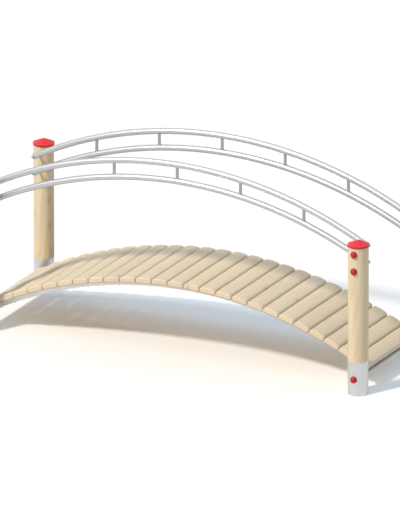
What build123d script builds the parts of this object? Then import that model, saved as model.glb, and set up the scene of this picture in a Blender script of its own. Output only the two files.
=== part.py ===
from build123d import *
import math
import os

# Arched plank footbridge with tube railings, standing on four round posts.
# X runs along the walk, Y across it, Z up from the floor, in millimetres.
# The origin is on the floor under the middle of the arch.

# Deck: planks laid across the walk with their tops on one arc
deck_radius = 3000.0
planks_each_side = 12
plank_length = 756.0
plank_width = 115.0
plank_gap = 6.4
plank_thickness = 42.0
plank_crown = 8.0
plank_edge_radius = 18.0
plank_end_chamfer = 6.0
deck_overhang = 9.0

# Steel under the deck: three arched stringers that run down to two end beams
stringer_width = 30.0
stringer_depth = 40.0
stringer_inset = 85.0
end_beam_width = 40.0
end_beam_depth = 24.0
end_beam_height = 117.0

# Posts: round timber, turned down to enter a steel foot sleeve of the same diameter
post_diameter = 140.0
post_side_clearance = 32.5
post_above_top_bolt = 52.0
post_top_chamfer = 4.0
sleeve_height = 240.0
sleeve_wall = 4.0
sleeve_plate = 6.0
spigot_clearance = 0.4
spigot_drain_gap = 8.0

# Post caps: a shallow cone on a short rim that reaches over the timber
cap_diameter = 150.0
cap_skirt_drop = 6.0
cap_rim_rise = 7.0
cap_cone_height = 31.0
cap_nose_radius = 14.0
cap_clearance = 0.4

# Railings: two parallel tubes a side, bent to the same radius, with short struts between
rail_radius = 2985.0
handrail_height = 822.0
rail_spacing = 118.0
rail_diameter = 42.4
rail_inset = 37.0
rail_past_post = 9.0
rail_end_chamfer = 6.0
strut_diameter = 21.3
strut_bays_each_side = 3

# Bushes that hold the tube ends off the posts, and covers over the bolt heads
spacer_diameter = 18.0
cover_diameter = 48.0
cover_skirt = 4.0
cover_rise = 18.0

# Room left between pieces that bear on each other
seat_gap = 0.2

# Places worked out from the sizes above
pitch_angle = (plank_width + plank_gap) / deck_radius
underside_radius = deck_radius - plank_thickness
corner_radius = math.hypot(underside_radius, plank_width / 2)
corner_angle = planks_each_side * pitch_angle + math.atan2(plank_width / 2, underside_radius)
end_beam_top = end_beam_height + end_beam_depth / 2
deck_centre_z = end_beam_top + seat_gap - corner_radius * math.cos(corner_angle)
deck_apex_z = deck_centre_z + deck_radius
stringer_outer_radius = underside_radius - seat_gap

post_radius = post_diameter / 2
post_x = corner_radius * math.sin(corner_angle) - deck_overhang
post_y = plank_length / 2 + post_side_clearance + post_radius

rail_y = plank_length / 2 - rail_inset
top_rail_apex_z = deck_apex_z + handrail_height
lower_rail_apex_z = top_rail_apex_z - rail_spacing
rail_drop_at_post = rail_radius - math.sqrt(rail_radius**2 - post_x**2)
top_bolt_z = top_rail_apex_z - rail_drop_at_post
lower_bolt_z = lower_rail_apex_z - rail_drop_at_post
post_top_z = top_bolt_z + post_above_top_bolt
strut_pitch = post_x / strut_bays_each_side

sides = {"front": -1, "back": 1}
ends = {"left": -1, "right": 1}


def save(name, shape):
    """Write one named piece."""
    export_step(shape, f"parts/{name}.step")


def arch_axis(centre_z):
    """The line across the walk that an arc of the bridge is struck from."""
    return Axis((0, 0, centre_z), (0, 1, 0))


# Deck planks
def plank_at_crown():
    """One plank where it lies at the top of the arch, with rounded upper edges and eased ends."""
    half_width = plank_width / 2
    shoulder = plank_thickness - plank_crown
    outline = Polyline((-half_width, shoulder), (-half_width, 0), (half_width, 0), (half_width, shoulder))
    outline += ThreePointArc((half_width, shoulder), (0, plank_thickness), (-half_width, shoulder))
    section = make_face(outline)
    section = fillet(section.vertices().group_by(Axis.Y)[-1], plank_edge_radius)
    plank = extrude(Plane.XZ * section, plank_length / 2, both=True)
    rims = []
    for end_face in plank.faces().filter_by(Axis.Y):
        rims += end_face.edges().sort_by(Axis.Z)[1:]
    plank = chamfer(rims, plank_end_chamfer)
    return Pos(0, 0, deck_apex_z - plank_thickness) * plank


def save_planks():
    plank = plank_at_crown()
    for index in range(-planks_each_side, planks_each_side + 1):
        turned = plank.rotate(arch_axis(deck_centre_z), math.degrees(index * pitch_angle))
        save(f"plank_{index + planks_each_side + 1:02d}", turned)


# Stringers and end beams
def end_beam(end):
    """A bar under the end plank, its two ends hollowed to the foot sleeves."""
    beam = Pos(end * post_x, 0, end_beam_height) * Box(end_beam_width, 2 * post_y, end_beam_depth)
    for side in sides.values():
        beam -= post_envelope(end, side)
    return beam


def end_space(end):
    """The space from an end beam's inner face outwards, which the stringers stay out of."""
    inner_x = post_x - end_beam_width / 2 - seat_gap
    block = Box(post_diameter, plank_length, 2 * end_beam_height)
    return Pos(end * (inner_x + post_diameter / 2), 0, end_beam_height) * block


def stringer(y):
    """An arched bar under the planks, its ends cut upright to butt against the end beams."""
    section = Plane.YZ * Pos(y, deck_centre_z + stringer_outer_radius - stringer_depth / 2)
    section *= Rectangle(stringer_width, stringer_depth)
    axis = arch_axis(deck_centre_z)
    sweep_angle = math.degrees(2 * corner_angle)
    bar = revolve(section, axis, sweep_angle).rotate(axis, -sweep_angle / 2)
    for end in ends.values():
        bar -= end_space(end)
    return bar


# Posts, foot sleeves and caps
def post_envelope(end, side):
    """The round space that a post and its sleeve fill, with room for a piece to bear on it."""
    envelope = Cylinder(post_radius + seat_gap, post_top_z, align=(Align.CENTER, Align.CENTER, Align.MIN))
    return Pos(end * post_x, side * post_y, 0) * envelope


def post():
    """Round timber with its lower end turned down, resting on the rim of the sleeve."""
    spigot_radius = post_radius - sleeve_wall - spigot_clearance
    spigot_foot = sleeve_plate + spigot_drain_gap
    outline = Polyline(
        (0, spigot_foot),
        (spigot_radius, spigot_foot),
        (spigot_radius, sleeve_height),
        (post_radius, sleeve_height),
        (post_radius, post_top_z - post_top_chamfer),
        (post_radius - post_top_chamfer, post_top_z),
        (0, post_top_z),
        (0, spigot_foot),
    )
    return revolve(Plane.XZ * make_face(outline), Axis.Z)


def foot_sleeve():
    """A steel cup: tube wall with a plate across its foot, which stands on the floor."""
    inner_radius = post_radius - sleeve_wall
    outline = Polyline(
        (0, 0),
        (post_radius, 0),
        (post_radius, sleeve_height),
        (inner_radius, sleeve_height),
        (inner_radius, sleeve_plate),
        (0, sleeve_plate),
        (0, 0),
    )
    return revolve(Plane.XZ * make_face(outline), Axis.Z)


def cap():
    """A cone with a rounded nose on a rim that reaches down over the timber."""
    rim_radius = cap_diameter / 2
    bore_radius = post_radius + cap_clearance
    skirt_foot = post_top_z - cap_skirt_drop
    rim_top = post_top_z + cap_rim_rise
    outline = Polyline(
        (0, post_top_z),
        (bore_radius, post_top_z),
        (bore_radius, skirt_foot),
        (rim_radius, skirt_foot),
        (rim_radius, rim_top),
        (0, rim_top + cap_cone_height),
        (0, post_top_z),
    )
    blank = revolve(Plane.XZ * make_face(outline), Axis.Z)
    slope = math.atan2(cap_cone_height, rim_radius)
    ball_centre = rim_top + cap_cone_height - cap_nose_radius / math.cos(slope)
    tangent_z = ball_centre + cap_nose_radius * math.cos(slope)
    tangent_radius = cap_nose_radius * math.sin(slope)
    slope_degrees = math.degrees(slope)
    nose_outline = Polyline((0, ball_centre + cap_nose_radius), (0, tangent_z), (tangent_radius, tangent_z))
    nose_outline += CenterArc((0, ball_centre), cap_nose_radius, 90 - slope_degrees, slope_degrees)
    nose = revolve(Plane.XZ * make_face(nose_outline), Axis.Z)
    tip = Cylinder(rim_radius, cap_cone_height, align=(Align.CENTER, Align.CENTER, Align.MIN))
    return blank - Pos(0, 0, tangent_z) * tip + nose


def save_posts():
    timber = post()
    sleeve = foot_sleeve()
    cover = cap()
    caps = []
    for side_name, side in sides.items():
        for end_name, end in ends.items():
            place = Pos(end * post_x, side * post_y, 0)
            save(f"{side_name}_{end_name}_post", place * timber)
            save(f"{side_name}_{end_name}_foot_sleeve", place * sleeve)
            caps.append(place * cover)
    save("post_caps", Compound(caps))


# Railings
def rail(side, apex_z, diameter, end_chamfer):
    """A round bar bent to the rail arc, with its ends just past the post bolts."""
    axis = arch_axis(apex_z - rail_radius)
    sweep_angle = 2 * math.degrees(math.asin((post_x + rail_past_post) / rail_radius))
    section = Plane.YZ * Pos(side * rail_y, apex_z) * Circle(diameter / 2)
    bar = revolve(section, axis, sweep_angle).rotate(axis, -sweep_angle / 2)
    if end_chamfer > 0:
        bar = chamfer(bar.edges().filter_by(GeomType.CIRCLE).group_by(SortBy.LENGTH)[0], end_chamfer)
    return bar


def rail_envelopes(side):
    """The space of a side's two rails, with room for a piece to bear on them."""
    diameter = rail_diameter + 2 * seat_gap
    return [rail(side, apex, diameter, 0) for apex in (top_rail_apex_z, lower_rail_apex_z)]


def struts(side):
    """Upright bars between the two tubes, hollowed to them at both ends."""
    upper, lower = rail_envelopes(side)
    bars = []
    for index in range(1 - strut_bays_each_side, strut_bays_each_side):
        x = index * strut_pitch
        drop = rail_radius - math.sqrt(rail_radius**2 - x**2)
        bar = Cylinder(strut_diameter / 2, rail_spacing, align=(Align.CENTER, Align.CENTER, Align.MIN))
        bar = Pos(x, side * rail_y, lower_rail_apex_z - drop) * bar
        bars.append(bar - upper - lower)
    return bars


def spacers(side):
    """Bushes between a side's tube ends and the inner faces of its posts."""
    upper, lower = rail_envelopes(side)
    reach = post_y - rail_y
    bushes = []
    for end in ends.values():
        for bolt_z, tube in ((top_bolt_z, upper), (lower_bolt_z, lower)):
            bush = Rot(90, 0, 0) * Cylinder(spacer_diameter / 2, reach)
            bush = Pos(end * post_x, side * (rail_y + reach / 2), bolt_z) * bush
            bushes.append(bush - tube - post_envelope(end, side))
    return bushes


def save_railings():
    strut_bars = []
    bushes = []
    for side_name, side in sides.items():
        save(f"{side_name}_top_rail", rail(side, top_rail_apex_z, rail_diameter, rail_end_chamfer))
        save(f"{side_name}_lower_rail", rail(side, lower_rail_apex_z, rail_diameter, rail_end_chamfer))
        strut_bars += struts(side)
        bushes += spacers(side)
    save("rail_struts", Compound(strut_bars))
    save("rail_spacers", Compound(bushes))


# Bolt covers
def bolt_cover():
    """A domed button on a short skirt, its axis along Z and its skirt long enough to be hollowed."""
    radius = cover_diameter / 2
    skirt_top = post_radius + cover_skirt
    dome_radius = (radius**2 + cover_rise**2) / (2 * cover_rise)
    dome_angle = math.degrees(math.asin(radius / dome_radius))
    dome_centre = skirt_top + cover_rise - dome_radius
    outline = Polyline((0, skirt_top + cover_rise), (0, 0), (radius, 0), (radius, skirt_top))
    outline += CenterArc((0, dome_centre), dome_radius, 90 - dome_angle, dome_angle)
    return revolve(Plane.XZ * make_face(outline), Axis.Z)


def bolt_covers():
    """Three covers on the outer face of each post: two at the rail bolts, one on the sleeve."""
    button = bolt_cover()
    covers = []
    for side in sides.values():
        for end in ends.values():
            for bolt_z in (top_bolt_z, lower_bolt_z, end_beam_height):
                turned = Pos(end * post_x, side * post_y, bolt_z) * Rot(-90 * side, 0, 0) * button
                covers.append(turned - post_envelope(end, side))
    return Compound(covers)


os.makedirs("parts", exist_ok=True)
save_planks()
save_posts()
save_railings()
save("bolt_covers", bolt_covers())
stringer_y = plank_length / 2 - stringer_inset - stringer_width / 2
save("front_stringer", stringer(-stringer_y))
save("centre_stringer", stringer(0))
save("back_stringer", stringer(stringer_y))
save("end_beams", Compound([end_beam(end) for end in ends.values()]))
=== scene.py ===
"""Finish, fastenings and stage for an arched plank footbridge with tube railings."""

import math
from typing import NamedTuple

import bpy
import numpy as np
from bpy.props import FloatProperty, FloatVectorProperty, PointerProperty
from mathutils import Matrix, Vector


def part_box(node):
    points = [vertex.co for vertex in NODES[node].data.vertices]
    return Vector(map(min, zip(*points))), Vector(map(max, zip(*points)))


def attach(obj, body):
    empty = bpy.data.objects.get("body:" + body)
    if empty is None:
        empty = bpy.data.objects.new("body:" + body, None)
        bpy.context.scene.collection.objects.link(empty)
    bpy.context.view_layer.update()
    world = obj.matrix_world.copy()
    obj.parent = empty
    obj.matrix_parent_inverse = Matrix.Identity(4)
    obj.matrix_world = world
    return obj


bl_info = {
    "name": "Plank Bridge Finish",
    "version": (1, 0, 0),
    "blender": (4, 5, 0),
    "location": "3D View > Sidebar > Bridge",
    "description": "Finishes, fastenings and stage for an arched plank bridge",
    "category": "Object",
}

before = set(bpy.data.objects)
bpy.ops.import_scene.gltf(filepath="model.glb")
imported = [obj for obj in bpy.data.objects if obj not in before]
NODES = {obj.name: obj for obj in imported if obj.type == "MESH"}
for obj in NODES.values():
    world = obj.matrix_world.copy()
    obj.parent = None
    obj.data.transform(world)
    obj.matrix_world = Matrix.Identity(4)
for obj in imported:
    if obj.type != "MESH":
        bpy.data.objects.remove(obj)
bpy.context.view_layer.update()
BODY = "root"

PLANKS = sorted(name for name in NODES if name.startswith("plank_"))
POSTS = sorted(name for name in NODES if name.endswith("_post"))
SLEEVES = sorted(name for name in NODES if name.endswith("_foot_sleeve"))
RAILS = sorted(name for name in NODES if name.endswith("_rail"))
STRINGERS = sorted(name for name in NODES if name.endswith("_stringer"))
SIDES = (-1, 1)
ENDS = (-1, 1)
STRUTS_EACH_SIDE = 2
SAME_LINE = 1e-5


# Places read from the frame
def points(node):
    """A node's vertices as rows of x, y, z."""
    return np.array([vertex.co for vertex in NODES[node].data.vertices], float)


class Arc:
    """An upright arc centred over the origin, fitted through points of the frame."""

    def __init__(self, x, z):
        rows = np.stack([2 * z, np.ones_like(z)], axis=1)
        (self.centre_z, rest), *_ = np.linalg.lstsq(rows, x**2 + z**2, rcond=None)
        self.radius = math.sqrt(rest + self.centre_z**2)

    def height(self, x):
        return self.centre_z + math.sqrt(self.radius**2 - x**2)

    def lean(self, x):
        """The cosine of the slope at x."""
        return math.sqrt(1 - (x / self.radius) ** 2)


def deck_arc():
    """The arc through the middles of the planks, the angle between planks and each one's angle."""
    middles = np.array([points(name).mean(axis=0) for name in PLANKS])
    arc = Arc(middles[:, 0], middles[:, 2])
    angles = np.arctan2(middles[:, 0], middles[:, 2] - arc.centre_z)
    return arc, float(np.diff(angles).mean()), angles


def rail_arc(name):
    """The arc of a tube's axis, from the line along its outermost side."""
    found = points(name)
    edge = found[found[:, 1] > found[:, 1].max() - SAME_LINE]
    return Arc(edge[:, 0], edge[:, 2])


DECK, PITCH, PLANK_ANGLES = deck_arc()
PLANK_LOW, PLANK_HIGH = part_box(PLANKS[len(PLANKS) // 2])
PLANK_HALF_LENGTH = PLANK_HIGH.y
PLANK_FOOT = PLANK_LOW.z - DECK.height(0)
POST_LOW, POST_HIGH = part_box("back_right_post")
POST_X = (POST_LOW.x + POST_HIGH.x) / 2
POST_Y = (POST_LOW.y + POST_HIGH.y) / 2
POST_RADIUS = (POST_HIGH.x - POST_LOW.x) / 2
RAIL_LOW, RAIL_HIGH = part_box("back_top_rail")
RAIL_Y = (RAIL_LOW.y + RAIL_HIGH.y) / 2
RAIL_RADIUS = (RAIL_HIGH.y - RAIL_LOW.y) / 2
STRUT_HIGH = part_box("rail_struts")[1]
STRUT_RADIUS = STRUT_HIGH.y - RAIL_Y
STRUT_PITCH = (STRUT_HIGH.x - STRUT_RADIUS) / STRUTS_EACH_SIDE
SPACER_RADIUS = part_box("rail_spacers")[1].x - POST_X
TOP_ARC = rail_arc("back_top_rail")
LOWER_ARC = rail_arc("back_lower_rail")


# Sizes, colours and view that a user would change
def colour(name, description, value):
    return FloatVectorProperty(name=name, description=description, default=value,
                               subtype="COLOR", size=3, min=0, soft_max=1)


def distance(name, description, value, **limits):
    return FloatProperty(name=name, description=description, default=value,
                         subtype="DISTANCE", unit="LENGTH", **limits)


def angle(name, description, degrees):
    return FloatProperty(name=name, description=description, default=math.radians(degrees),
                         subtype="ANGLE", unit="ROTATION")


class BridgeColours(bpy.types.PropertyGroup):
    """Colours of the finishes, as linear light."""

    plank_pale: colour("Plank pale", "Early wood of the deck planks", (0.82, 0.70, 0.53))
    plank_warm: colour("Plank warm", "Rosier stretches of the deck planks", (0.80, 0.66, 0.48))
    plank_ring: colour("Plank ring", "Late wood of the deck planks", (0.64, 0.47, 0.30))
    # Painted shade: this colour darkens the lowest few millimetres of the plank ends, standing in
    # for the shadow line under them, not for damp
    plank_foot_shade: colour("Plank damp", "Lower edges of the plank ends, darkened by damp",
                       (0.36, 0.31, 0.25))
    post_pale: colour("Post pale", "Early wood of the posts", (0.775, 0.635, 0.44))
    post_warm: colour("Post warm", "Deeper stretches of the posts", (0.725, 0.575, 0.38))
    post_ring: colour("Post ring", "Late wood of the posts", (0.58, 0.40, 0.22))
    knot: colour("Knot", "Heart of a knot", (0.30, 0.16, 0.07))
    # The tubes are not rubbed bright by hands: tubes and struts are one zinc, and the struts'
    # darker colour below is painted shade
    rail_zinc: colour("Rail zinc", "Tubes of the railings, rubbed bright by hands",
                      (0.58, 0.585, 0.60))
    rail_dull: colour("Rail zinc dull", "Darker crystals on the tubes", (0.52, 0.525, 0.54))
    # Painted shade: a darker copy of the tubes' zinc, for struts, bushes, welds and nuts
    strut_shaded_zinc: colour("Strut zinc", "Struts, bushes, welds and nuts of the railings",
                       (0.42, 0.425, 0.43))
    strut_shaded_dull: colour("Strut zinc dull", "Darker crystals on the struts", (0.35, 0.355, 0.362))
    zinc: colour("Zinc", "Foot sleeves and end beams", (0.67, 0.665, 0.66))
    zinc_dull: colour("Zinc dull", "Darker crystals on the sleeves", (0.56, 0.56, 0.563))
    # Painted light: the stringers' zinc is a lighter copy of the sleeves' zinc, standing in for
    # light they catch, not for shelter from rain
    stringer_zinc: colour("Stringer zinc", "Stringers, bright where the deck keeps the rain off",
                          (0.79, 0.78, 0.76))
    # Painted shade: a dark zinc laid on the end beams above their foot and along the stringers'
    # tops under the planks, where shade falls; it is not weathering
    beam_zinc: colour("Beam zinc", "Weathered zinc of the end beams and along the planks",
                      (0.31, 0.325, 0.325))
    # Caps and covers are one plastic: the covers' deeper red is painted shade
    cap_red: colour("Cap red", "Moulded post caps", (0.83, 0.028, 0.042))
    cover_shaded_red: colour("Cover red", "Moulded bolt covers", (0.52, 0.016, 0.024))
    floor: colour("Floor", "Studio floor", (0.86, 0.86, 0.87))
    glow: colour("Floor glow", "Light that the floor shows to the camera by itself",
                 (0.20, 0.20, 0.20))
    # Painted light and shade on the floor, shown only to camera, gloss and glass rays: warm bounce
    # light with its shade under and before the deck, a deeper shade in and just before the shadow's
    # middle, cool skylight in the open behind the bridge, and light along the shadow's far edge
    painted_warm_bounce: colour("Floor glow warm", "The floor's own light under and before the deck",
                      (0.155, 0.12, 0.074))
    painted_shadow_core: colour("Floor glow core", "The floor's own light in the middle of the shadow",
                      (0.07, 0.04, 0.01))
    painted_cool_skylight: colour("Floor glow cool", "The floor's own light in the open behind the bridge",
                      (0.25, 0.285, 0.33))
    painted_edge_light: colour("Floor glow edge", "The floor's own light along the shadow's far edge",
                      (0.355, 0.39, 0.435))
    sky: colour("Sky", "Light from overhead", (0.37, 0.42, 0.47))
    horizon: colour("Horizon", "Light from the sides", (0.315, 0.353, 0.395))
    gloss_high: colour("Gloss overhead", "What metal mirrors overhead", (1.0, 1.0, 1.0))
    gloss_low: colour("Gloss at the sides", "What metal mirrors at the sides", (0.72, 0.73, 0.75))
    sun: colour("Sun", "Key light", (1.0, 0.945, 0.86))


class BridgeSizes(bpy.types.PropertyGroup):
    """Sizes of the grain and of the small fastenings."""

    ring_width: distance("Ring width", "From one growth ring to the next", 0.0046, min=0)
    spangle: distance("Spangle", "Width of a zinc crystal", 0.009, min=0)
    bead: distance("Weld bead", "Radius of a weld bead", 0.0026, min=0)
    ripple: distance("Weld ripple", "Height of the ripples on a weld bead", 0.0007, min=0)
    nut_width: distance("Nut width", "Low cap nut across its corners", 0.019, min=0)
    nut_height: distance("Nut height", "Height of a low cap nut's hexagon", 0.004, min=0)
    washer_width: distance("Washer width", "Washer under a cap nut", 0.025, min=0)
    screw_width: distance("Screw width", "Plank screw head across its corners", 0.012, min=0)
    screw_height: distance("Screw height", "Height of a plank screw head", 0.005, min=0)


class BridgeView(bpy.types.PropertyGroup):
    """Camera and light, from the picture's near-parallel view."""

    azimuth: angle("Azimuth", "Camera turn to the right of the front", 26.384)
    elevation: angle("Elevation", "Camera height over the horizon", 19.013)
    frame_height: distance("Frame height", "Height of the picture at the bridge", 3.4208)
    aim_right: distance("Aim right", "Aim point to the right of the origin", 0.0012)
    aim_up: distance("Aim up", "Aim point above the origin in the picture", 0.5948)
    lens: FloatProperty(name="Lens", default=1340,
                        description="Focal length in millimetres, long for a parallel view")
    sun_turn: angle("Sun turn", "Way that the shadows run, from +X towards +Y", 62.7)
    sun_height: angle("Sun height", "Height of the key light", 47)
    sun_width: angle("Sun width", "Width of the key light, for soft shadows", 6.5)
    sun_strength: FloatProperty(name="Sun strength", default=2.6,
                                description="Strength of the key light")
    # How far the floor's painted light and shade reach from the middle of the bridge
    bloom: distance("Floor tint", "Reach of the floor's tint from the middle of the bridge", 1.9)


# Node trees written as sums
class Wire:
    """An output socket that takes part in sums: each operator adds a Math node."""

    def __init__(self, plan, socket):
        self.plan = plan
        self.socket = socket

    def math(self, operation, *others):
        inputs = dict(enumerate((self, *others)))
        return self.plan.node("ShaderNodeMath", {"operation": operation}, inputs)

    def reflected(self, operation, other):
        return self.plan.node("ShaderNodeMath", {"operation": operation}, {0: other, 1: self})

    def __add__(self, other):
        return self.math("ADD", other)

    __radd__ = __add__

    def __sub__(self, other):
        return self.math("SUBTRACT", other)

    def __rsub__(self, other):
        return self.reflected("SUBTRACT", other)

    def __mul__(self, other):
        return self.math("MULTIPLY", other)

    __rmul__ = __mul__

    def __truediv__(self, other):
        return self.math("DIVIDE", other)

    def __pow__(self, other):
        return self.math("POWER", other)

    def __abs__(self):
        return self.math("ABSOLUTE")

    def ease(self, low, high):
        """0 below low and 1 above high, smooth between; turned round if low is the larger."""
        if low > high:
            return 1 - self.ease(high, low)
        inputs = {"Value": self, "From Min": low, "From Max": high}
        return self.plan.node("ShaderNodeMapRange", {"interpolation_type": "SMOOTHSTEP"}, inputs)

    def band(self, rise, fall):
        """1 between a rise and a fall, each given as where it starts and ends."""
        return self.ease(*rise) * self.ease(*fall)


# Places of a colour Mix node's sockets
MIX_SHARE, MIX_FIRST, MIX_SECOND = 0, 6, 7
MIX_RESULT = 2


class Plan:
    """A node tree being drawn up, with one way to add any node."""

    def __init__(self, tree):
        self.tree = tree

    def node(self, kind, settings=None, sockets=None, out=0):
        made = self.tree.nodes.new(kind)
        for name, value in (settings or {}).items():
            setattr(made, name, value)
        for key, value in (sockets or {}).items():
            if isinstance(value, Wire):
                self.tree.links.new(value.socket, made.inputs[key])
            else:
                made.inputs[key].default_value = value
        return Wire(self, made.outputs[out]) if len(made.outputs) else None

    def parts(self, vector):
        """The three numbers of a vector or colour."""
        split = self.node("ShaderNodeSeparateXYZ", {}, {0: vector})
        outputs = split.socket.node.outputs
        return [Wire(self, output) for output in outputs]

    def vector(self, x, y, z):
        return self.node("ShaderNodeCombineXYZ", {}, {0: x, 1: y, 2: z})

    def scaled(self, place, factor):
        """A place with its three numbers times a factor."""
        return self.vector(*(part * factor for part in place))

    def blend(self, share, first, second, mode="MIX"):
        """A colour between two colours."""
        settings = {"data_type": "RGBA", "blend_type": mode}
        sockets = {MIX_SHARE: share, MIX_FIRST: solid(first), MIX_SECOND: solid(second)}
        return self.node("ShaderNodeMix", settings, sockets, MIX_RESULT)

    def layered(self, base, *layers):
        """Colours laid over a base in turn, each given after its share from 0 to 1."""
        for share, over in layers:
            base = self.blend(share, base, over)
        return base

    def noise(self, vector, detail=2.0, roughness=0.5, out="Fac"):
        sockets = {"Vector": vector, "Scale": 1.0, "Detail": detail, "Roughness": roughness}
        return self.node("ShaderNodeTexNoise", {}, sockets, out)


BLACK = (0.0, 0.0, 0.0)
WHITE = (1.0, 1.0, 1.0)


def solid(value):
    """A colour socket's value: a wire as it is, three numbers with full alpha."""
    return value if isinstance(value, Wire) else (*value, 1.0)


def socket_name(key):
    """A shader socket's name, from a keyword."""
    return key.replace("_", " ").title().replace("Ior", "IOR")


class Finish(Plan):
    """A new material, closed by surface() or by an output of its own."""

    def __init__(self, name):
        self.material = bpy.data.materials.new(name)
        self.material.use_nodes = True
        super().__init__(self.material.node_tree)
        self.tree.nodes.clear()

    def place(self):
        """x, y and z of the shaded point in the bridge's own frame."""
        return self.parts(self.node("ShaderNodeTexCoord", {}, {}, "Object"))

    def surface(self, height, depth, strength, **sockets):
        """The shader and its output, with a bump of the given depth in metres."""
        named = {socket_name(key): value for key, value in sockets.items()}
        bump = {"Strength": strength, "Distance": depth, "Height": height}
        named["Normal"] = self.node("ShaderNodeBump", {}, bump)
        shader = self.node("ShaderNodeBsdfPrincipled", {}, named)
        self.node("ShaderNodeOutputMaterial", {}, {"Surface": shader})
        return self.material


def dress(names, material):
    """Give CAD nodes one finish all over."""
    for name in names:
        slots = NODES[name].data.materials
        slots.clear()
        slots.append(material)


# Timber: a pair of scales is across the grain and then along it
class Pine(NamedTuple):
    """What sets the grain of the planks and of the posts apart."""

    cut: float
    wander: float
    broad_scales: tuple
    knot_scales: tuple
    knot_cut: float
    knot_rarity: float
    streak_step: tuple
    streak_share: float
    halo_share: float
    heart_share: float
    rough: float
    streak_rough: float
    late_smooth: float
    streak_height: float
    bump_depth: float


PLANK_PINE = Pine(
    cut=1.73,
    wander=0.016,
    broad_scales=(26, 2.2),
    knot_scales=(9, 4.6),
    knot_cut=3.1,
    knot_rarity=0.86,
    streak_step=(0.52, 0.78),
    streak_share=0.16,
    halo_share=0.28,
    heart_share=0.34,
    rough=0.50,
    streak_rough=0.16,
    late_smooth=0.06,
    streak_height=0.7,
    bump_depth=0.0006,
)
POST_PINE = Pine(
    cut=2.9,
    wander=0.013,
    broad_scales=(20, 2.0),
    knot_scales=(9, 4.2),
    knot_cut=1.7,
    knot_rarity=0.88,
    streak_step=(0.50, 0.78),
    streak_share=0.22,
    halo_share=0.30,
    heart_share=0.36,
    rough=0.52,
    streak_rough=0.15,
    late_smooth=0.05,
    streak_height=0.8,
    bump_depth=0.0007,
)

# Marks that both timbers share
DRIFT_SCALES = (9, 1.3)
WAVE_SCALES = (60, 0.8)
FIBRE_SCALES = (520, 9)
WAVE_HEIGHT = 1.4
LATE_POWER = 2.2
LATE_END = (1.0, 0.93)
BROAD_STEP = (0.35, 0.68)
KNOT_HEART = (0.085, 0.045)
KNOT_HALO = (0.26, 0.06)
KNOT_FADE = 0.03
LATE_HEIGHT = 0.6
HEART_DROP = 0.5
PINE_BUMP = 0.5

# Planks: the draw for each one, its pith, rings, tint, sawn ends, and painted shade along the lower
# edge of their ends
PLANK_SEED = 0.37
PITH_SPREAD = 0.11
PITH_LEAST_DEPTH = 0.03
PITH_MORE_DEPTH = 0.07
PITH_TILT = 0.07
PLANK_RING_LEAST = 0.22
PLANK_RING_MORE = 0.16
TINT_LEAST = 0.95
TINT_MORE = 0.08
BLUE_LEAST = 0.97
BLUE_MORE = 0.05
END_START, END_FULL = 0.005, 0.002
END_SHARE = 0.30
END_ROUGH = 0.12
FOOT_SHADE_START, FOOT_SHADE_FULL = 0.012, 0.005
FOOT_SHADE_SHARE = 0.65

# Posts: how far the pith is off the axis and leans, and the height where the lean is nought
POST_RING = 0.32
PITH_OFF_X, PITH_OFF_Y = 0.007, 0.006
PITH_LEAN_X, PITH_LEAN_Y = 0.012, 0.010
PITH_LEVEL = 0.5


def stretched(plan, across, along, depth, scales):
    """A texture place in a piece of timber, with one scale across the grain and one along it."""
    fine, lengthwise = scales
    return plan.vector(across * fine, along * lengthwise, depth * fine)


def growth_rings(plan, across, along, depth, ring_width, wander):
    """Late wood from 0 to 1 at a point of a board, given its place round the pith."""
    slow = stretched(plan, across, along, depth, DRIFT_SCALES)
    drift_x, drift_z, _ = plan.parts(plan.noise(slow, out="Color"))
    shifted_x = across + (drift_x - 0.5) * wander
    shifted_z = depth + (drift_z - 0.5) * wander
    reach = (shifted_x**2 + shifted_z**2) ** 0.5
    fine, lengthwise = WAVE_SCALES
    wave = plan.noise(plan.vector(reach * fine, along * lengthwise, 0.0)) * WAVE_HEIGHT
    saw = (reach / ring_width + wave).math("FRACT")
    return saw**LATE_POWER * saw.ease(*LATE_END)


def fibres(plan, across, along, depth):
    """Fine streaks along the grain, from 0 to 1."""
    fine = stretched(plan, across, along, depth, FIBRE_SCALES)
    return plan.noise(fine, detail=3, roughness=0.6)


def broad_tone(plan, across, along, depth, scales):
    """Broad stretches of deeper tone, from 0 to 1."""
    slow = stretched(plan, across, along, depth, scales)
    return plan.noise(slow, detail=3, roughness=0.55).ease(*BROAD_STEP)


def knots(plan, pine, around, along, number):
    """Heart and halo of scattered knots, each from 0 to 1, unlike on each numbered piece."""
    fine, lengthwise = pine.knot_scales
    place = plan.vector(around * fine + number * pine.knot_cut, along * lengthwise, 0.0)
    cells = plan.node(
        "ShaderNodeTexVoronoi",
        {"voronoi_dimensions": "2D"},
        {"Vector": place, "Scale": 1.0, "Randomness": 1.0},
    )
    chance, _, _ = plan.parts(Wire(plan, cells.socket.node.outputs["Color"]))
    kept = chance.ease(pine.knot_rarity, pine.knot_rarity + KNOT_FADE)
    return cells.ease(*KNOT_HEART) * kept, cells.ease(*KNOT_HALO) * kept


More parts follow.
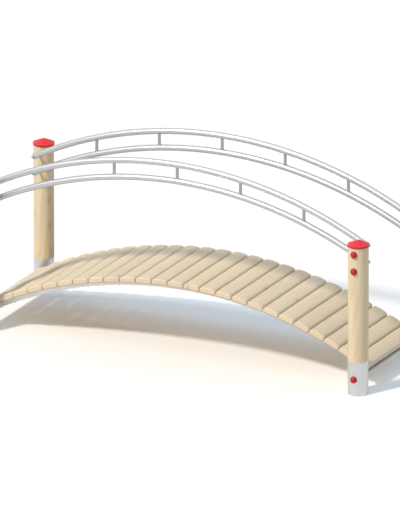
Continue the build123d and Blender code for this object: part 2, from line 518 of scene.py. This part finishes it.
def pine_plank_finish(colours, sizes):
    """Planed pine: each plank's pith, tint and knots follow from its place on the arch."""
    plan = Finish("planed_pine")
    pine = PLANK_PINE
    x, y, z = plan.place()
    rise = z - DECK.centre_z
    turn = x.math("ARCTAN2", rise)
    number = (turn / PITCH).math("ROUND")
    across = (turn - number * PITCH) * DECK.radius
    depth = (x**2 + rise**2) ** 0.5 - DECK.radius
    chance = plan.node("ShaderNodeTexWhiteNoise", {"noise_dimensions": "1D"},
                       {"W": number + PLANK_SEED}, "Color")
    first, second, third = plan.parts(chance)
    along = y + number * pine.cut
    pith_across = across - (first - 0.5) * PITH_SPREAD
    pith_depth = depth + PITH_LEAST_DEPTH + second * PITH_MORE_DEPTH
    pith_depth = pith_depth + (third - 0.5) * y * PITH_TILT
    late = growth_rings(plan, pith_across, along, pith_depth, sizes.ring_width, pine.wander)
    streak = fibres(plan, across, along, depth)
    broad = broad_tone(plan, across, along, depth, pine.broad_scales)
    heart, halo = knots(plan, pine, across, along, number)
    grained = plan.layered(
        plan.blend(broad * 0.5 + first * 0.5, colours.plank_pale, colours.plank_warm),
        (late * (PLANK_RING_LEAST + PLANK_RING_MORE * third), colours.plank_ring),
        (streak.ease(*pine.streak_step) * pine.streak_share, colours.plank_ring),
        (halo * pine.halo_share, colours.plank_ring),
        (heart * pine.heart_share, colours.knot),
    )
    tint = TINT_LEAST + second * TINT_MORE
    tints = plan.vector(tint, tint, tint * (BLUE_LEAST + BLUE_MORE * third))
    tinted = plan.blend(1.0, grained, tints, "MULTIPLY")
    end = abs(y).ease(PLANK_HALF_LENGTH - END_START, PLANK_HALF_LENGTH - END_FULL)
    # Painted shade along the lower edge of the plank ends
    painted_foot_shade = depth.ease(PLANK_FOOT + FOOT_SHADE_START, PLANK_FOOT + FOOT_SHADE_FULL)
    return plan.surface(
        base_color=plan.layered(
            tinted,
            (end * END_SHARE, colours.plank_ring),
            (painted_foot_shade * end * FOOT_SHADE_SHARE, colours.plank_foot_shade),
        ),
        roughness=(pine.rough + streak * pine.streak_rough + end * END_ROUGH
                   - late * pine.late_smooth),
        height=late * LATE_HEIGHT + streak * pine.streak_height - heart * HEART_DROP,
        depth=pine.bump_depth,
        strength=PINE_BUMP,
    )


def pine_post_finish(colours, sizes):
    """Turned pine: rings about a pith near each post's axis, flamed where the surface cuts them."""
    plan = Finish("turned_pine")
    pine = POST_PINE
    x, y, z = plan.place()
    end = x.math("SIGN")
    side = y.math("SIGN")
    local_x = x - end * POST_X
    local_y = y - side * POST_Y
    number = end * 2 + side
    along = z + number * pine.cut
    rise = z - PITH_LEVEL
    pith_x = local_x + PITH_OFF_X * end + rise * PITH_LEAN_X * side
    pith_y = local_y - PITH_OFF_Y * side + rise * PITH_LEAN_Y * end
    late = growth_rings(plan, pith_x, along, pith_y, sizes.ring_width, pine.wander)
    streak = fibres(plan, local_x, along, local_y)
    broad = broad_tone(plan, local_x, along, local_y, pine.broad_scales)
    around = local_y.math("ARCTAN2", local_x) * POST_RADIUS
    heart, halo = knots(plan, pine, around, along, number)
    return plan.surface(
        base_color=plan.layered(
            plan.blend(broad, colours.post_pale, colours.post_warm),
            (late * POST_RING, colours.post_ring),
            (streak.ease(*pine.streak_step) * pine.streak_share, colours.post_ring),
            (halo * pine.halo_share, colours.post_ring),
            (heart * pine.heart_share, colours.knot),
        ),
        roughness=pine.rough + streak * pine.streak_rough - late * pine.late_smooth,
        height=late * LATE_HEIGHT + streak * pine.streak_height - heart * HEART_DROP,
        depth=pine.bump_depth,
        strength=PINE_BUMP,
    )


# Metal and plastic: scales, shares and bumps of their textures
BLOOM_SCALE = 14
BLOOM_STEP = (0.35, 0.7)
BLOOM_SHARE = 0.45
BLOOM_ROUGH = 0.08
SPANGLE_SHARE = 0.55
SPANGLE_ROUGH = 0.10
SPANGLE_HEIGHT = 0.2
GRIT_SCALE = 900
GRIT_HEIGHT = 0.5
ZINC_BUMP = 0.25
SKIN_SCALE = 700
CLOUD_SCALE = 40
CLOUD_STEP = (0.3, 0.7)
CLOUD_SHARE = 0.6
CLOUD_ROUGH = 0.12
CLOUD_TONE = 0.86
RIM_SHADE_TONE = 0.5
PLASTIC_ROUGH = 0.30
PLASTIC_BUMP = 0.2
SKIN_DEPTH = 0.0002

# Painted shade along edges, in metres from the edge to where each starts and is full: the caps'
# lower rims, the covers' feet at the posts, the stringers' tops under the planks, and the end beams
# above their foot
CAP_SHADE_START, CAP_SHADE_FULL = 0.013, 0.004
COVER_SHADE_START, COVER_SHADE_FULL = 0.013, 0.003
COVER_SHADE_SHARE = 0.6
UNDER_PLANK_SHADE_START, UNDER_PLANK_SHADE_FULL = 0.009, 0.003
UNDER_PLANK_SHADE_SHARE = 0.8
BEAM_SHADE_START, BEAM_SHADE_FULL = 0.006, 0.013


def zinc_finish(name, bright, dull, sizes, rough, spread, painted_shade=None, shade_colour=None):
    """Hot-dip zinc: crystals of slightly different shade, over a faint bloom.

    The optional share function gives, from 0 to 1 at a point's x and z, how much of the second
    colour is laid over the zinc as painted shade.
    """
    plan = Finish(name)
    x, y, z = plan.place()
    crystal = plan.node(
        "ShaderNodeTexVoronoi",
        {"voronoi_dimensions": "3D"},
        {"Vector": plan.vector(x, y, z), "Scale": 1 / sizes.spangle, "Randomness": 1.0},
        "Color",
    )
    shade, gleam, _ = plan.parts(crystal)
    bloom = plan.noise(plan.scaled((x, y, z), BLOOM_SCALE), detail=4, roughness=0.6)
    grit = plan.noise(plan.scaled((x, y, z), GRIT_SCALE))
    mixed = shade * SPANGLE_SHARE * spread + bloom.ease(*BLOOM_STEP) * BLOOM_SHARE
    base = plan.blend(mixed, bright, dull)
    # Painted shade laid over the zinc, where a share is given
    if painted_shade is not None:
        base = plan.blend(painted_shade(x, z), base, shade_colour)
    return plan.surface(
        base_color=base,
        metallic=1.0,
        roughness=rough + (gleam - 0.5) * SPANGLE_ROUGH * spread + bloom * BLOOM_ROUGH,
        height=grit * GRIT_HEIGHT + shade * SPANGLE_HEIGHT,
        depth=SKIN_DEPTH,
        strength=ZINC_BUMP,
    )


def plastic_finish(name, red, gloss, edge):
    """Moulded plastic with a fine skin, an uneven gloss and painted shade at its edge.

    edge gives the share, from 0 to 1, of painted shade at the edge, at a point's y and z.
    """
    plan = Finish(name)
    x, y, z = plan.place()
    skin = plan.noise(plan.scaled((x, y, z), SKIN_SCALE))
    cloud = plan.noise(plan.scaled((x, y, z), CLOUD_SCALE), detail=3)
    deep = [channel * CLOUD_TONE for channel in red]
    # The rim colour is painted shade: half the red, laid at the edge
    rim = [channel * RIM_SHADE_TONE for channel in red]
    return plan.surface(
        base_color=plan.layered(
            red,
            (cloud.ease(*CLOUD_STEP) * CLOUD_SHARE, deep),
            (edge(y, z), rim),
        ),
        roughness=PLASTIC_ROUGH + cloud * CLOUD_ROUGH,
        specular_ior_level=gloss,
        height=skin,
        depth=SKIN_DEPTH,
        strength=PLASTIC_BUMP,
    )


# Geometry Nodes trees
LENGTH_SOCKET = "NodeSocketFloat"
MATERIAL_SOCKET = "NodeSocketMaterial"
GEOMETRY_SOCKET = "NodeSocketGeometry"

BEAD_SIDES = 8
RIPPLE_SCALE = 420.0
WASHER_SIDES = 20
HEX_SIDES = 6
DOME_SEGMENTS = 16
DOME_RINGS = 8
DOME_LIFT_SHARE = 0.82
DOME_HEIGHT_SHARE = 0.4
SCREW_WASHER_SHARE = 0.72


def geometry_plan(name, inputs):
    """A new geometry tree with named inputs: its plan, input wires and identifiers."""
    tree = bpy.data.node_groups.new(name, "GeometryNodeTree")
    tree.interface.new_socket("Geometry", in_out="INPUT", socket_type=GEOMETRY_SOCKET)
    identifiers = {}
    for label, kind in inputs.items():
        socket = tree.interface.new_socket(label, in_out="INPUT", socket_type=kind)
        identifiers[label] = socket.identifier
    tree.interface.new_socket("Geometry", in_out="OUTPUT", socket_type=GEOMETRY_SOCKET)
    plan = Plan(tree)
    group = plan.node("NodeGroupInput").socket.node
    wires = {output.name: Wire(plan, output) for output in group.outputs if output.name}
    return plan, wires, identifiers


def close_plan(plan, geometry, material):
    """End a tree in real geometry that carries its material."""
    real = plan.node("GeometryNodeRealizeInstances", {}, {"Geometry": geometry})
    painted = plan.node("GeometryNodeSetMaterial", {}, {"Geometry": real, "Material": material})
    plan.node("NodeGroupOutput", {"is_active_output": True}, {"Geometry": painted})


def weld_tree():
    """Sweep a rippled round bead along the edges of the input."""
    inputs = {"Bead": LENGTH_SOCKET, "Ripple": LENGTH_SOCKET, "Material": MATERIAL_SOCKET}
    plan, wires, identifiers = geometry_plan("weld_bead", inputs)
    path = plan.node("GeometryNodeMeshToCurve", {}, {"Mesh": wires["Geometry"]})
    ring = plan.node("GeometryNodeCurvePrimitiveCircle", {},
                     {"Resolution": BEAD_SIDES, "Radius": wires["Bead"]})
    bead = plan.node("GeometryNodeCurveToMesh", {}, {"Curve": path, "Profile Curve": ring})
    bumps = plan.node("ShaderNodeTexNoise", {}, {"Scale": RIPPLE_SCALE, "Detail": 0.0}, "Fac")
    normal = plan.node("GeometryNodeInputNormal")
    push = plan.node("ShaderNodeVectorMath", {"operation": "SCALE"},
                     {"Vector": normal, "Scale": (bumps - 0.5) * 2 * wires["Ripple"]})
    moved = plan.node("GeometryNodeSetPosition", {}, {"Geometry": bead, "Offset": push})
    smooth = plan.node("GeometryNodeSetShadeSmooth", {}, {"Geometry": moved})
    close_plan(plan, smooth, wires["Material"])
    return plan.tree, identifiers


def fastener_tree():
    """Put a washer, hexagon and dome on every point, turned to its facing attribute."""
    inputs = {
        "Hex Radius": LENGTH_SOCKET,
        "Hex Height": LENGTH_SOCKET,
        "Dome Radius": LENGTH_SOCKET,
        "Washer Radius": LENGTH_SOCKET,
        "Washer Height": LENGTH_SOCKET,
        "Material": MATERIAL_SOCKET,
    }
    plan, wires, identifiers = geometry_plan("hex_fastener", inputs)

    def drum(sides, radius, height, base):
        sockets = {"Vertices": sides, "Radius": radius, "Depth": height}
        mesh = plan.node("GeometryNodeMeshCylinder", {}, sockets)
        shift = plan.vector(0.0, 0.0, base + height * 0.5)
        return plan.node("GeometryNodeTransform", {}, {"Geometry": mesh, "Translation": shift})

    washer = drum(WASHER_SIDES, wires["Washer Radius"], wires["Washer Height"], 0.0)
    hexagon = drum(HEX_SIDES, wires["Hex Radius"], wires["Hex Height"], wires["Washer Height"])
    round_shape = {"Segments": DOME_SEGMENTS, "Rings": DOME_RINGS, "Radius": wires["Dome Radius"]}
    ball = plan.node("GeometryNodeMeshUVSphere", {}, round_shape)
    ball = plan.node("GeometryNodeSetShadeSmooth", {}, {"Geometry": ball})
    lift = plan.vector(0.0, 0.0, wires["Washer Height"] + wires["Hex Height"] * DOME_LIFT_SHARE)
    low = {"Geometry": ball, "Translation": lift, "Scale": (1.0, 1.0, DOME_HEIGHT_SHARE)}
    dome = plan.node("GeometryNodeTransform", {}, low)
    whole = plan.node("GeometryNodeJoinGeometry")
    for shape in (washer, hexagon, dome):
        plan.tree.links.new(shape.socket, whole.socket.node.inputs[0])
    facing = plan.node("GeometryNodeInputNamedAttribute", {"data_type": "FLOAT_VECTOR"},
                       {"Name": "facing"})
    turn = plan.node("FunctionNodeAlignRotationToVector", {"axis": "Z"}, {"Vector": facing})
    placed = plan.node("GeometryNodeInstanceOnPoints", {},
                       {"Points": wires["Geometry"], "Instance": whole, "Rotation": turn})
    close_plan(plan, placed, wires["Material"])
    return plan.tree, identifiers


def grown(name, mesh, tree, identifiers, values):
    """Run a geometry tree on a mesh and keep the result as a plain riding piece."""
    holder = bpy.data.objects.new(name + "_seed", mesh)
    bpy.context.scene.collection.objects.link(holder)
    modifier = holder.modifiers.new("grow", "NODES")
    modifier.node_group = tree
    for label, value in values.items():
        modifier[identifiers[label]] = value
    graph = bpy.context.evaluated_depsgraph_get()
    result = bpy.data.meshes.new_from_object(holder.evaluated_get(graph))
    holder.modifiers.remove(modifier)
    bpy.data.objects.remove(holder)
    result.name = name
    piece = bpy.data.objects.new(name, result)
    bpy.context.scene.collection.objects.link(piece)
    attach(piece, BODY)
    return piece


def ring_mesh(name, rings):
    """A mesh of closed loops of edges."""
    places = []
    edges = []
    for ring in rings:
        start = len(places)
        count = len(ring)
        places += ring
        edges += [(start + step, start + (step + 1) % count) for step in range(count)]
    mesh = bpy.data.meshes.new(name)
    mesh.from_pydata(places, edges, [])
    return mesh


def facing_mesh(name, places, ways):
    """A mesh of loose points, each with the way that it faces."""
    mesh = bpy.data.meshes.new(name)
    mesh.from_pydata(places, [], [])
    attribute = mesh.attributes.new("facing", "FLOAT_VECTOR", "POINT")
    attribute.data.foreach_set("vector", [number for way in ways for number in way])
    return mesh


# Weld seams and places of the fasteners
RING_STEPS = 28
RING_TURNS = [2 * math.pi * step / RING_STEPS for step in range(RING_STEPS)]


def strut_weld(x, side, arc, up):
    """The seam of a strut on a tube: up is 1 where the tube is above the strut, -1 below."""
    ring = []
    for turn in RING_TURNS:
        px = x + STRUT_RADIUS * math.cos(turn)
        off = STRUT_RADIUS * math.sin(turn)
        drop = math.sqrt(RAIL_RADIUS**2 - off**2) / arc.lean(px)
        ring.append((px, side * RAIL_Y + off, arc.height(px) - up * drop))
    return ring


def spacer_weld(end, side, arc):
    """The seam of a spacer bush on the outer side of a tube."""
    ring = []
    bolt_z = arc.height(POST_X)
    for turn in RING_TURNS:
        px = end * POST_X + SPACER_RADIUS * math.cos(turn)
        pz = bolt_z + SPACER_RADIUS * math.sin(turn)
        off = math.hypot(px, pz - arc.centre_z) - arc.radius
        ring.append((px, side * (RAIL_Y + math.sqrt(RAIL_RADIUS**2 - off**2)), pz))
    return ring


def nut_points():
    """Points on the inner side of the tubes, at the post bolts."""
    places = []
    ways = []
    for side in SIDES:
        for end in ENDS:
            for arc in (TOP_ARC, LOWER_ARC):
                inner_y = side * (RAIL_Y - RAIL_RADIUS)
                places.append((end * POST_X, inner_y, arc.height(POST_X)))
                ways.append((0, -side, 0))
    return facing_mesh("rail_nut_points", places, ways)


def screw_points():
    """Points under the stringers, one below the middle of each plank."""
    places = []
    ways = []
    for name in STRINGERS:
        found = points(name)
        inner = np.hypot(found[:, 0], found[:, 2] - DECK.centre_z).min()
        y = (found[:, 1].min() + found[:, 1].max()) / 2
        for plank_angle in PLANK_ANGLES:
            lean_x, lean_z = math.sin(plank_angle), math.cos(plank_angle)
            places.append((inner * lean_x, y, DECK.centre_z + inner * lean_z))
            ways.append((-lean_x, 0, -lean_z))
    return facing_mesh("plank_screw_points", places, ways)


def fastener_values(width, height, dome, washer_radius, washer_height, material):
    """A fastener's sizes: dome and washer_height are shares of its width and height."""
    return {
        "Hex Radius": width / 2,
        "Hex Height": height,
        "Dome Radius": width * dome,
        "Washer Radius": washer_radius,
        "Washer Height": height * washer_height,
        "Material": bpy.data.materials[material],
    }


# Operators
class BridgeOperator(bpy.types.Operator):
    """Shared access to the bridge's settings."""

    bl_options = {"REGISTER", "UNDO"}

    def settings(self, context):
        scene = context.scene
        return scene.bridge_colours, scene.bridge_sizes, scene.bridge_view


class BRIDGE_OT_deck(BridgeOperator):
    """Give the deck planks their planed pine"""

    bl_idname = "bridge.deck"
    bl_label = "Deck planks"

    def execute(self, context):
        colours, sizes, _ = self.settings(context)
        dress(PLANKS, pine_plank_finish(colours, sizes))
        return {"FINISHED"}


class BRIDGE_OT_posts(BridgeOperator):
    """Give the posts their turned pine"""

    bl_idname = "bridge.posts"
    bl_label = "Posts"

    def execute(self, context):
        colours, sizes, _ = self.settings(context)
        dress(POSTS, pine_post_finish(colours, sizes))
        return {"FINISHED"}


class BRIDGE_OT_steel(BridgeOperator):
    """Give the rails, sleeves and bearers their zinc"""

    bl_idname = "bridge.steel"
    bl_label = "Galvanised steel"

    def execute(self, context):
        colours, sizes, _ = self.settings(context)
        tube = zinc_finish("tube_zinc", colours.rail_zinc, colours.rail_dull, sizes,
                           rough=0.37, spread=0.3)
        dress(RAILS, tube)
        # Struts, bushes, welds and nuts take the darker copy of the tubes' zinc: painted shade
        strut = zinc_finish("rail_zinc", colours.strut_shaded_zinc, colours.strut_shaded_dull, sizes,
                            rough=0.34, spread=0.5)
        dress(["rail_struts", "rail_spacers"], strut)
        bearer = zinc_finish("bearer_zinc", colours.zinc, colours.zinc_dull, sizes,
                             rough=0.46, spread=0.4)
        dress(SLEEVES, bearer)
        found = points(STRINGERS[0])
        top = np.hypot(found[:, 0], found[:, 2] - DECK.centre_z).max()

        # Painted shade: a dark line along the tops of the stringers, under the planks, where the
        # planks' shadow falls
        def shade_under_planks(x, z):
            reach = (x**2 + (z - DECK.centre_z) ** 2) ** 0.5
            return reach.ease(top - UNDER_PLANK_SHADE_START, top - UNDER_PLANK_SHADE_FULL) * UNDER_PLANK_SHADE_SHARE

        # The stringers take the lighter zinc, painted light, with painted shade along their tops
        # under the planks
        stringer = zinc_finish("stringer_zinc", colours.stringer_zinc, colours.zinc, sizes,
                               rough=0.50, spread=0.4,
                               painted_shade=shade_under_planks, shade_colour=colours.beam_zinc)
        dress(STRINGERS, stringer)
        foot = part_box("end_beams")[0].z

        # Painted shade: the end beams are dark above their lowest few millimetres, which keep the
        # plain zinc
        def shade_above_foot(x, z):
            return z.ease(foot + BEAM_SHADE_START, foot + BEAM_SHADE_FULL)

        beam = zinc_finish("beam_zinc", colours.zinc, colours.zinc_dull, sizes,
                           rough=0.58, spread=0.8,
                           painted_shade=shade_above_foot, shade_colour=colours.beam_zinc)
        dress(["end_beams"], beam)
        return {"FINISHED"}


class BRIDGE_OT_plastic(BridgeOperator):
    """Give the post caps and bolt covers their red plastic"""

    bl_idname = "bridge.plastic"
    bl_label = "Caps and bolt covers"

    def execute(self, context):
        colours, _, _ = self.settings(context)
        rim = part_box("post_caps")[0].z
        face = POST_Y + POST_RADIUS

        # Painted shade: the caps' red deepens towards their lower rim
        def cap_rim_shade(y, z):
            return z.ease(rim + CAP_SHADE_START, rim + CAP_SHADE_FULL)

        # Painted shade: the covers' red deepens towards their foot at the post
        def cover_foot_shade(y, z):
            return abs(y).ease(face + COVER_SHADE_START, face + COVER_SHADE_FULL) * COVER_SHADE_SHARE

        cap = plastic_finish("cap_plastic", colours.cap_red, gloss=0.4, edge=cap_rim_shade)
        dress(["post_caps"], cap)
        cover = plastic_finish("cover_plastic", colours.cover_shaded_red, gloss=0.3, edge=cover_foot_shade)
        dress(["bolt_covers"], cover)
        return {"FINISHED"}


class BRIDGE_OT_welds(BridgeOperator):
    """Run a weld bead round every strut end and spacer bush"""

    bl_idname = "bridge.welds"
    bl_label = "Weld beads"

    def execute(self, context):
        _, sizes, _ = self.settings(context)
        rings = []
        for side in SIDES:
            for place in range(-STRUTS_EACH_SIDE, STRUTS_EACH_SIDE + 1):
                rings.append(strut_weld(place * STRUT_PITCH, side, TOP_ARC, 1))
                rings.append(strut_weld(place * STRUT_PITCH, side, LOWER_ARC, -1))
            for end in ENDS:
                rings += [spacer_weld(end, side, arc) for arc in (TOP_ARC, LOWER_ARC)]
        tree, identifiers = weld_tree()
        values = {
            "Bead": sizes.bead,
            "Ripple": sizes.ripple,
            "Material": bpy.data.materials["rail_zinc"],
        }
        paths = ring_mesh("rail_weld_paths", rings)
        beads = grown("rail_welds", paths, tree, identifiers, values)
        return {"FINISHED"}


class BRIDGE_OT_fasteners(BridgeOperator):
    """Put cap nuts on the rail bolts and screws under the planks"""

    bl_idname = "bridge.fasteners"
    bl_label = "Nuts and screws"

    def execute(self, context):
        _, sizes, _ = self.settings(context)
        tree, identifiers = fastener_tree()
        values = fastener_values(sizes.nut_width, sizes.nut_height, dome=0.40,
                                 washer_radius=sizes.washer_width / 2, washer_height=0.25,
                                 material="rail_zinc")
        nuts = grown("rail_nuts", nut_points(), tree, identifiers, values)
        washer = sizes.screw_width * SCREW_WASHER_SHARE
        values = fastener_values(sizes.screw_width, sizes.screw_height, dome=0.30,
                                 washer_radius=washer, washer_height=0.30,
                                 material="bearer_zinc")
        screws = grown("plank_screws", screw_points(), tree, identifiers, values)
        return {"FINISHED"}


# Stage: the floor's reach, and where its painted light and shade start and end in metres
FLOOR_REACH = 60.0
PAINTED_LIGHT_OVAL = (0.75, 1.45)
PAINTED_LIGHT_FULL = 0.3
WARM_SHIFT = 0.18
WARM_ALONG = (1.75, 1.42)
WARM_ACROSS = (0.60, 0.0)
CORE_ALONG = (1.35, 0.95)
CORE_FRONT = (-0.40, -0.10)
CORE_WIDE = (0.50, 0.20)
CORE_WIDE_SHARE = 0.45
CORE_NEAR = (0.08, -0.02)
CORE_NEAR_SHARE = 0.55
END_ALONG = ((0.9, 1.3), (1.75, 1.5))
END_ACROSS = ((0.2, 0.35), (0.65, 0.5))
END_SHADE = 0.16
EDGE_BEND = 0.12
EDGE_ACROSS = ((0.60, 0.74), (0.90, 0.78))
SKY_RISE = (0.0, 0.8)
GLOSS_RISE = (0.05, 0.75)


class BRIDGE_OT_stage(BridgeOperator):
    """Lay the floor and set up the light and the camera"""

    bl_idname = "bridge.stage"
    bl_label = "Stage"

    def execute(self, context):
        colours, _, view = self.settings(context)
        scene = context.scene
        self.floor(colours, view)
        self.light(scene, colours, view)
        self.camera(scene, view)
        scene.view_settings.view_transform = "Standard"
        return {"FINISHED"}

    def rays(self, plan):
        """1 or 0 for rays that come straight from the camera, by gloss and through glass."""
        path = plan.node("ShaderNodeLightPath").socket.node.outputs
        names = ("Is Camera Ray", "Is Glossy Ray", "Is Transmission Ray")
        return [Wire(plan, path[name]) for name in names]

    def floor_finish(self, colours, view):
        """A matt floor with an even glow of its own, over which light and shade are painted: warm
        bounce from the timber, shade in the shadow's middle and at its ends, cool skylight behind,
        and light along the shadow's far edge.
        """
        plan = Finish("studio_floor")
        x, y, _ = plan.place()
        oval_x, oval_y = PAINTED_LIGHT_OVAL
        away = ((x * oval_x) ** 2 + (y * oval_y) ** 2) ** 0.5
        # Painted light and shade: warm bounce under and before the deck, a deeper shadow core,
        # shade at the shadow's ends and light along its far edge, over cool skylight behind
        warm = y.ease(*WARM_ACROSS) * abs(x + WARM_SHIFT).ease(*WARM_ALONG)
        core = y.ease(*CORE_WIDE) * CORE_WIDE_SHARE + y.ease(*CORE_NEAR) * CORE_NEAR_SHARE
        core = core * y.ease(*CORE_FRONT) * abs(x).ease(*CORE_ALONG)
        tint = plan.layered(colours.painted_cool_skylight, (warm, colours.painted_warm_bounce), (core, colours.painted_shadow_core))
        ends = abs(x).band(*END_ALONG) * y.band(*END_ACROSS)
        edge = (y + x**2 * EDGE_BEND).band(*EDGE_ACROSS)
        glow_and_painted_light = plan.layered(
            colours.glow,
            (away.ease(view.bloom, PAINTED_LIGHT_FULL), tint),
            (ends * END_SHADE, BLACK),
            (edge, colours.painted_edge_light),
        )
        matt = plan.node("ShaderNodeBsdfDiffuse", {}, {"Color": solid(colours.floor)})
        straight, gloss, glass = self.rays(plan)
        seen = straight.math("MAXIMUM", gloss).math("MAXIMUM", glass)
        shown = plan.blend(seen, BLACK, glow_and_painted_light)
        glow = plan.node("ShaderNodeEmission", {}, {"Color": shown, "Strength": 1.0})
        both = plan.node("ShaderNodeAddShader", {}, {0: matt, 1: glow})
        plan.node("ShaderNodeOutputMaterial", {}, {"Surface": both})
        return plan.material

    def floor(self, colours, view):
        mesh = bpy.data.meshes.new("floor")
        signs = ((-1, -1), (1, -1), (1, 1), (-1, 1))
        corners = [(x * FLOOR_REACH, y * FLOOR_REACH, 0) for x, y in signs]
        mesh.from_pydata(corners, [], [(0, 1, 2, 3)])
        mesh.materials.append(self.floor_finish(colours, view))
        floor = bpy.data.objects.new("floor", mesh)
        bpy.context.scene.collection.objects.link(floor)

    def light(self, scene, colours, view):
        lamp = bpy.data.lights.new("key", "SUN")
        lamp.energy = view.sun_strength
        lamp.color = colours.sun
        lamp.angle = view.sun_width
        key = bpy.data.objects.new("key", lamp)
        flat = math.cos(view.sun_height)
        way = Vector((
            flat * math.cos(view.sun_turn),
            flat * math.sin(view.sun_turn),
            -math.sin(view.sun_height),
        ))
        key.rotation_euler = way.to_track_quat("-Z", "Y").to_euler()
        scene.collection.objects.link(key)
        world = bpy.data.worlds.new("soft_sky")
        world.use_nodes = True
        plan = Plan(world.node_tree)
        plan.tree.nodes.clear()
        _, _, height = plan.parts(plan.node("ShaderNodeTexCoord", {}, {}, "Generated"))
        straight, gloss, glass = self.rays(plan)
        lit = plan.blend(height.ease(*SKY_RISE), colours.horizon, colours.sky)
        mirrored = plan.blend(height.ease(*GLOSS_RISE), colours.gloss_low, colours.gloss_high)
        shown = plan.layered(lit, (gloss, mirrored), (straight.math("MAXIMUM", glass), WHITE))
        sky = plan.node("ShaderNodeBackground", {}, {"Color": shown, "Strength": 1.0})
        plan.node("ShaderNodeOutputWorld", {}, {"Surface": sky})
        scene.world = world

    def camera(self, scene, view):
        lens = bpy.data.cameras.new("camera")
        lens.lens = view.lens
        reach = view.frame_height * lens.lens / lens.sensor_width
        lens.clip_end = reach * 2
        eye = bpy.data.objects.new("camera", lens)
        flat = math.cos(view.elevation)
        back = Vector((
            math.sin(view.azimuth) * flat,
            -math.cos(view.azimuth) * flat,
            math.sin(view.elevation),
        ))
        right = Vector((math.cos(view.azimuth), math.sin(view.azimuth), 0))
        up = back.cross(right)
        eye.location = right * view.aim_right + up * view.aim_up + back * reach
        eye.rotation_euler = (-back).to_track_quat("-Z", "Y").to_euler()
        scene.collection.objects.link(eye)
        scene.camera = eye


STEPS = (
    BRIDGE_OT_deck,
    BRIDGE_OT_posts,
    BRIDGE_OT_steel,
    BRIDGE_OT_plastic,
    BRIDGE_OT_welds,
    BRIDGE_OT_fasteners,
    BRIDGE_OT_stage,
)
GROUPS = {
    "bridge_colours": BridgeColours,
    "bridge_sizes": BridgeSizes,
    "bridge_view": BridgeView,
}


class BRIDGE_PT_panel(bpy.types.Panel):
    """Settings and steps of the bridge's finish"""

    bl_idname = "BRIDGE_PT_panel"
    bl_label = "Plank bridge"
    bl_space_type = "VIEW_3D"
    bl_region_type = "UI"
    bl_category = "Bridge"

    def draw(self, context):
        layout = self.layout
        for group_name, kind in GROUPS.items():
            group = getattr(context.scene, group_name)
            box = layout.box()
            for name in kind.__annotations__:
                box.prop(group, name)
        for step in STEPS:
            layout.operator(step.bl_idname)


def register():
    for kind in (*GROUPS.values(), *STEPS, BRIDGE_PT_panel):
        bpy.utils.register_class(kind)
    for name, kind in GROUPS.items():
        setattr(bpy.types.Scene, name, PointerProperty(type=kind))


def unregister():
    for name in GROUPS:
        delattr(bpy.types.Scene, name)
    for kind in reversed((*GROUPS.values(), *STEPS, BRIDGE_PT_panel)):
        bpy.utils.unregister_class(kind)


def main():
    register()
    bpy.ops.bridge.deck()
    bpy.ops.bridge.posts()
    bpy.ops.bridge.steel()
    bpy.ops.bridge.plastic()
    bpy.ops.bridge.welds()
    bpy.ops.bridge.fasteners()
    bpy.ops.bridge.stage()


if __name__ == "__main__":
    main()
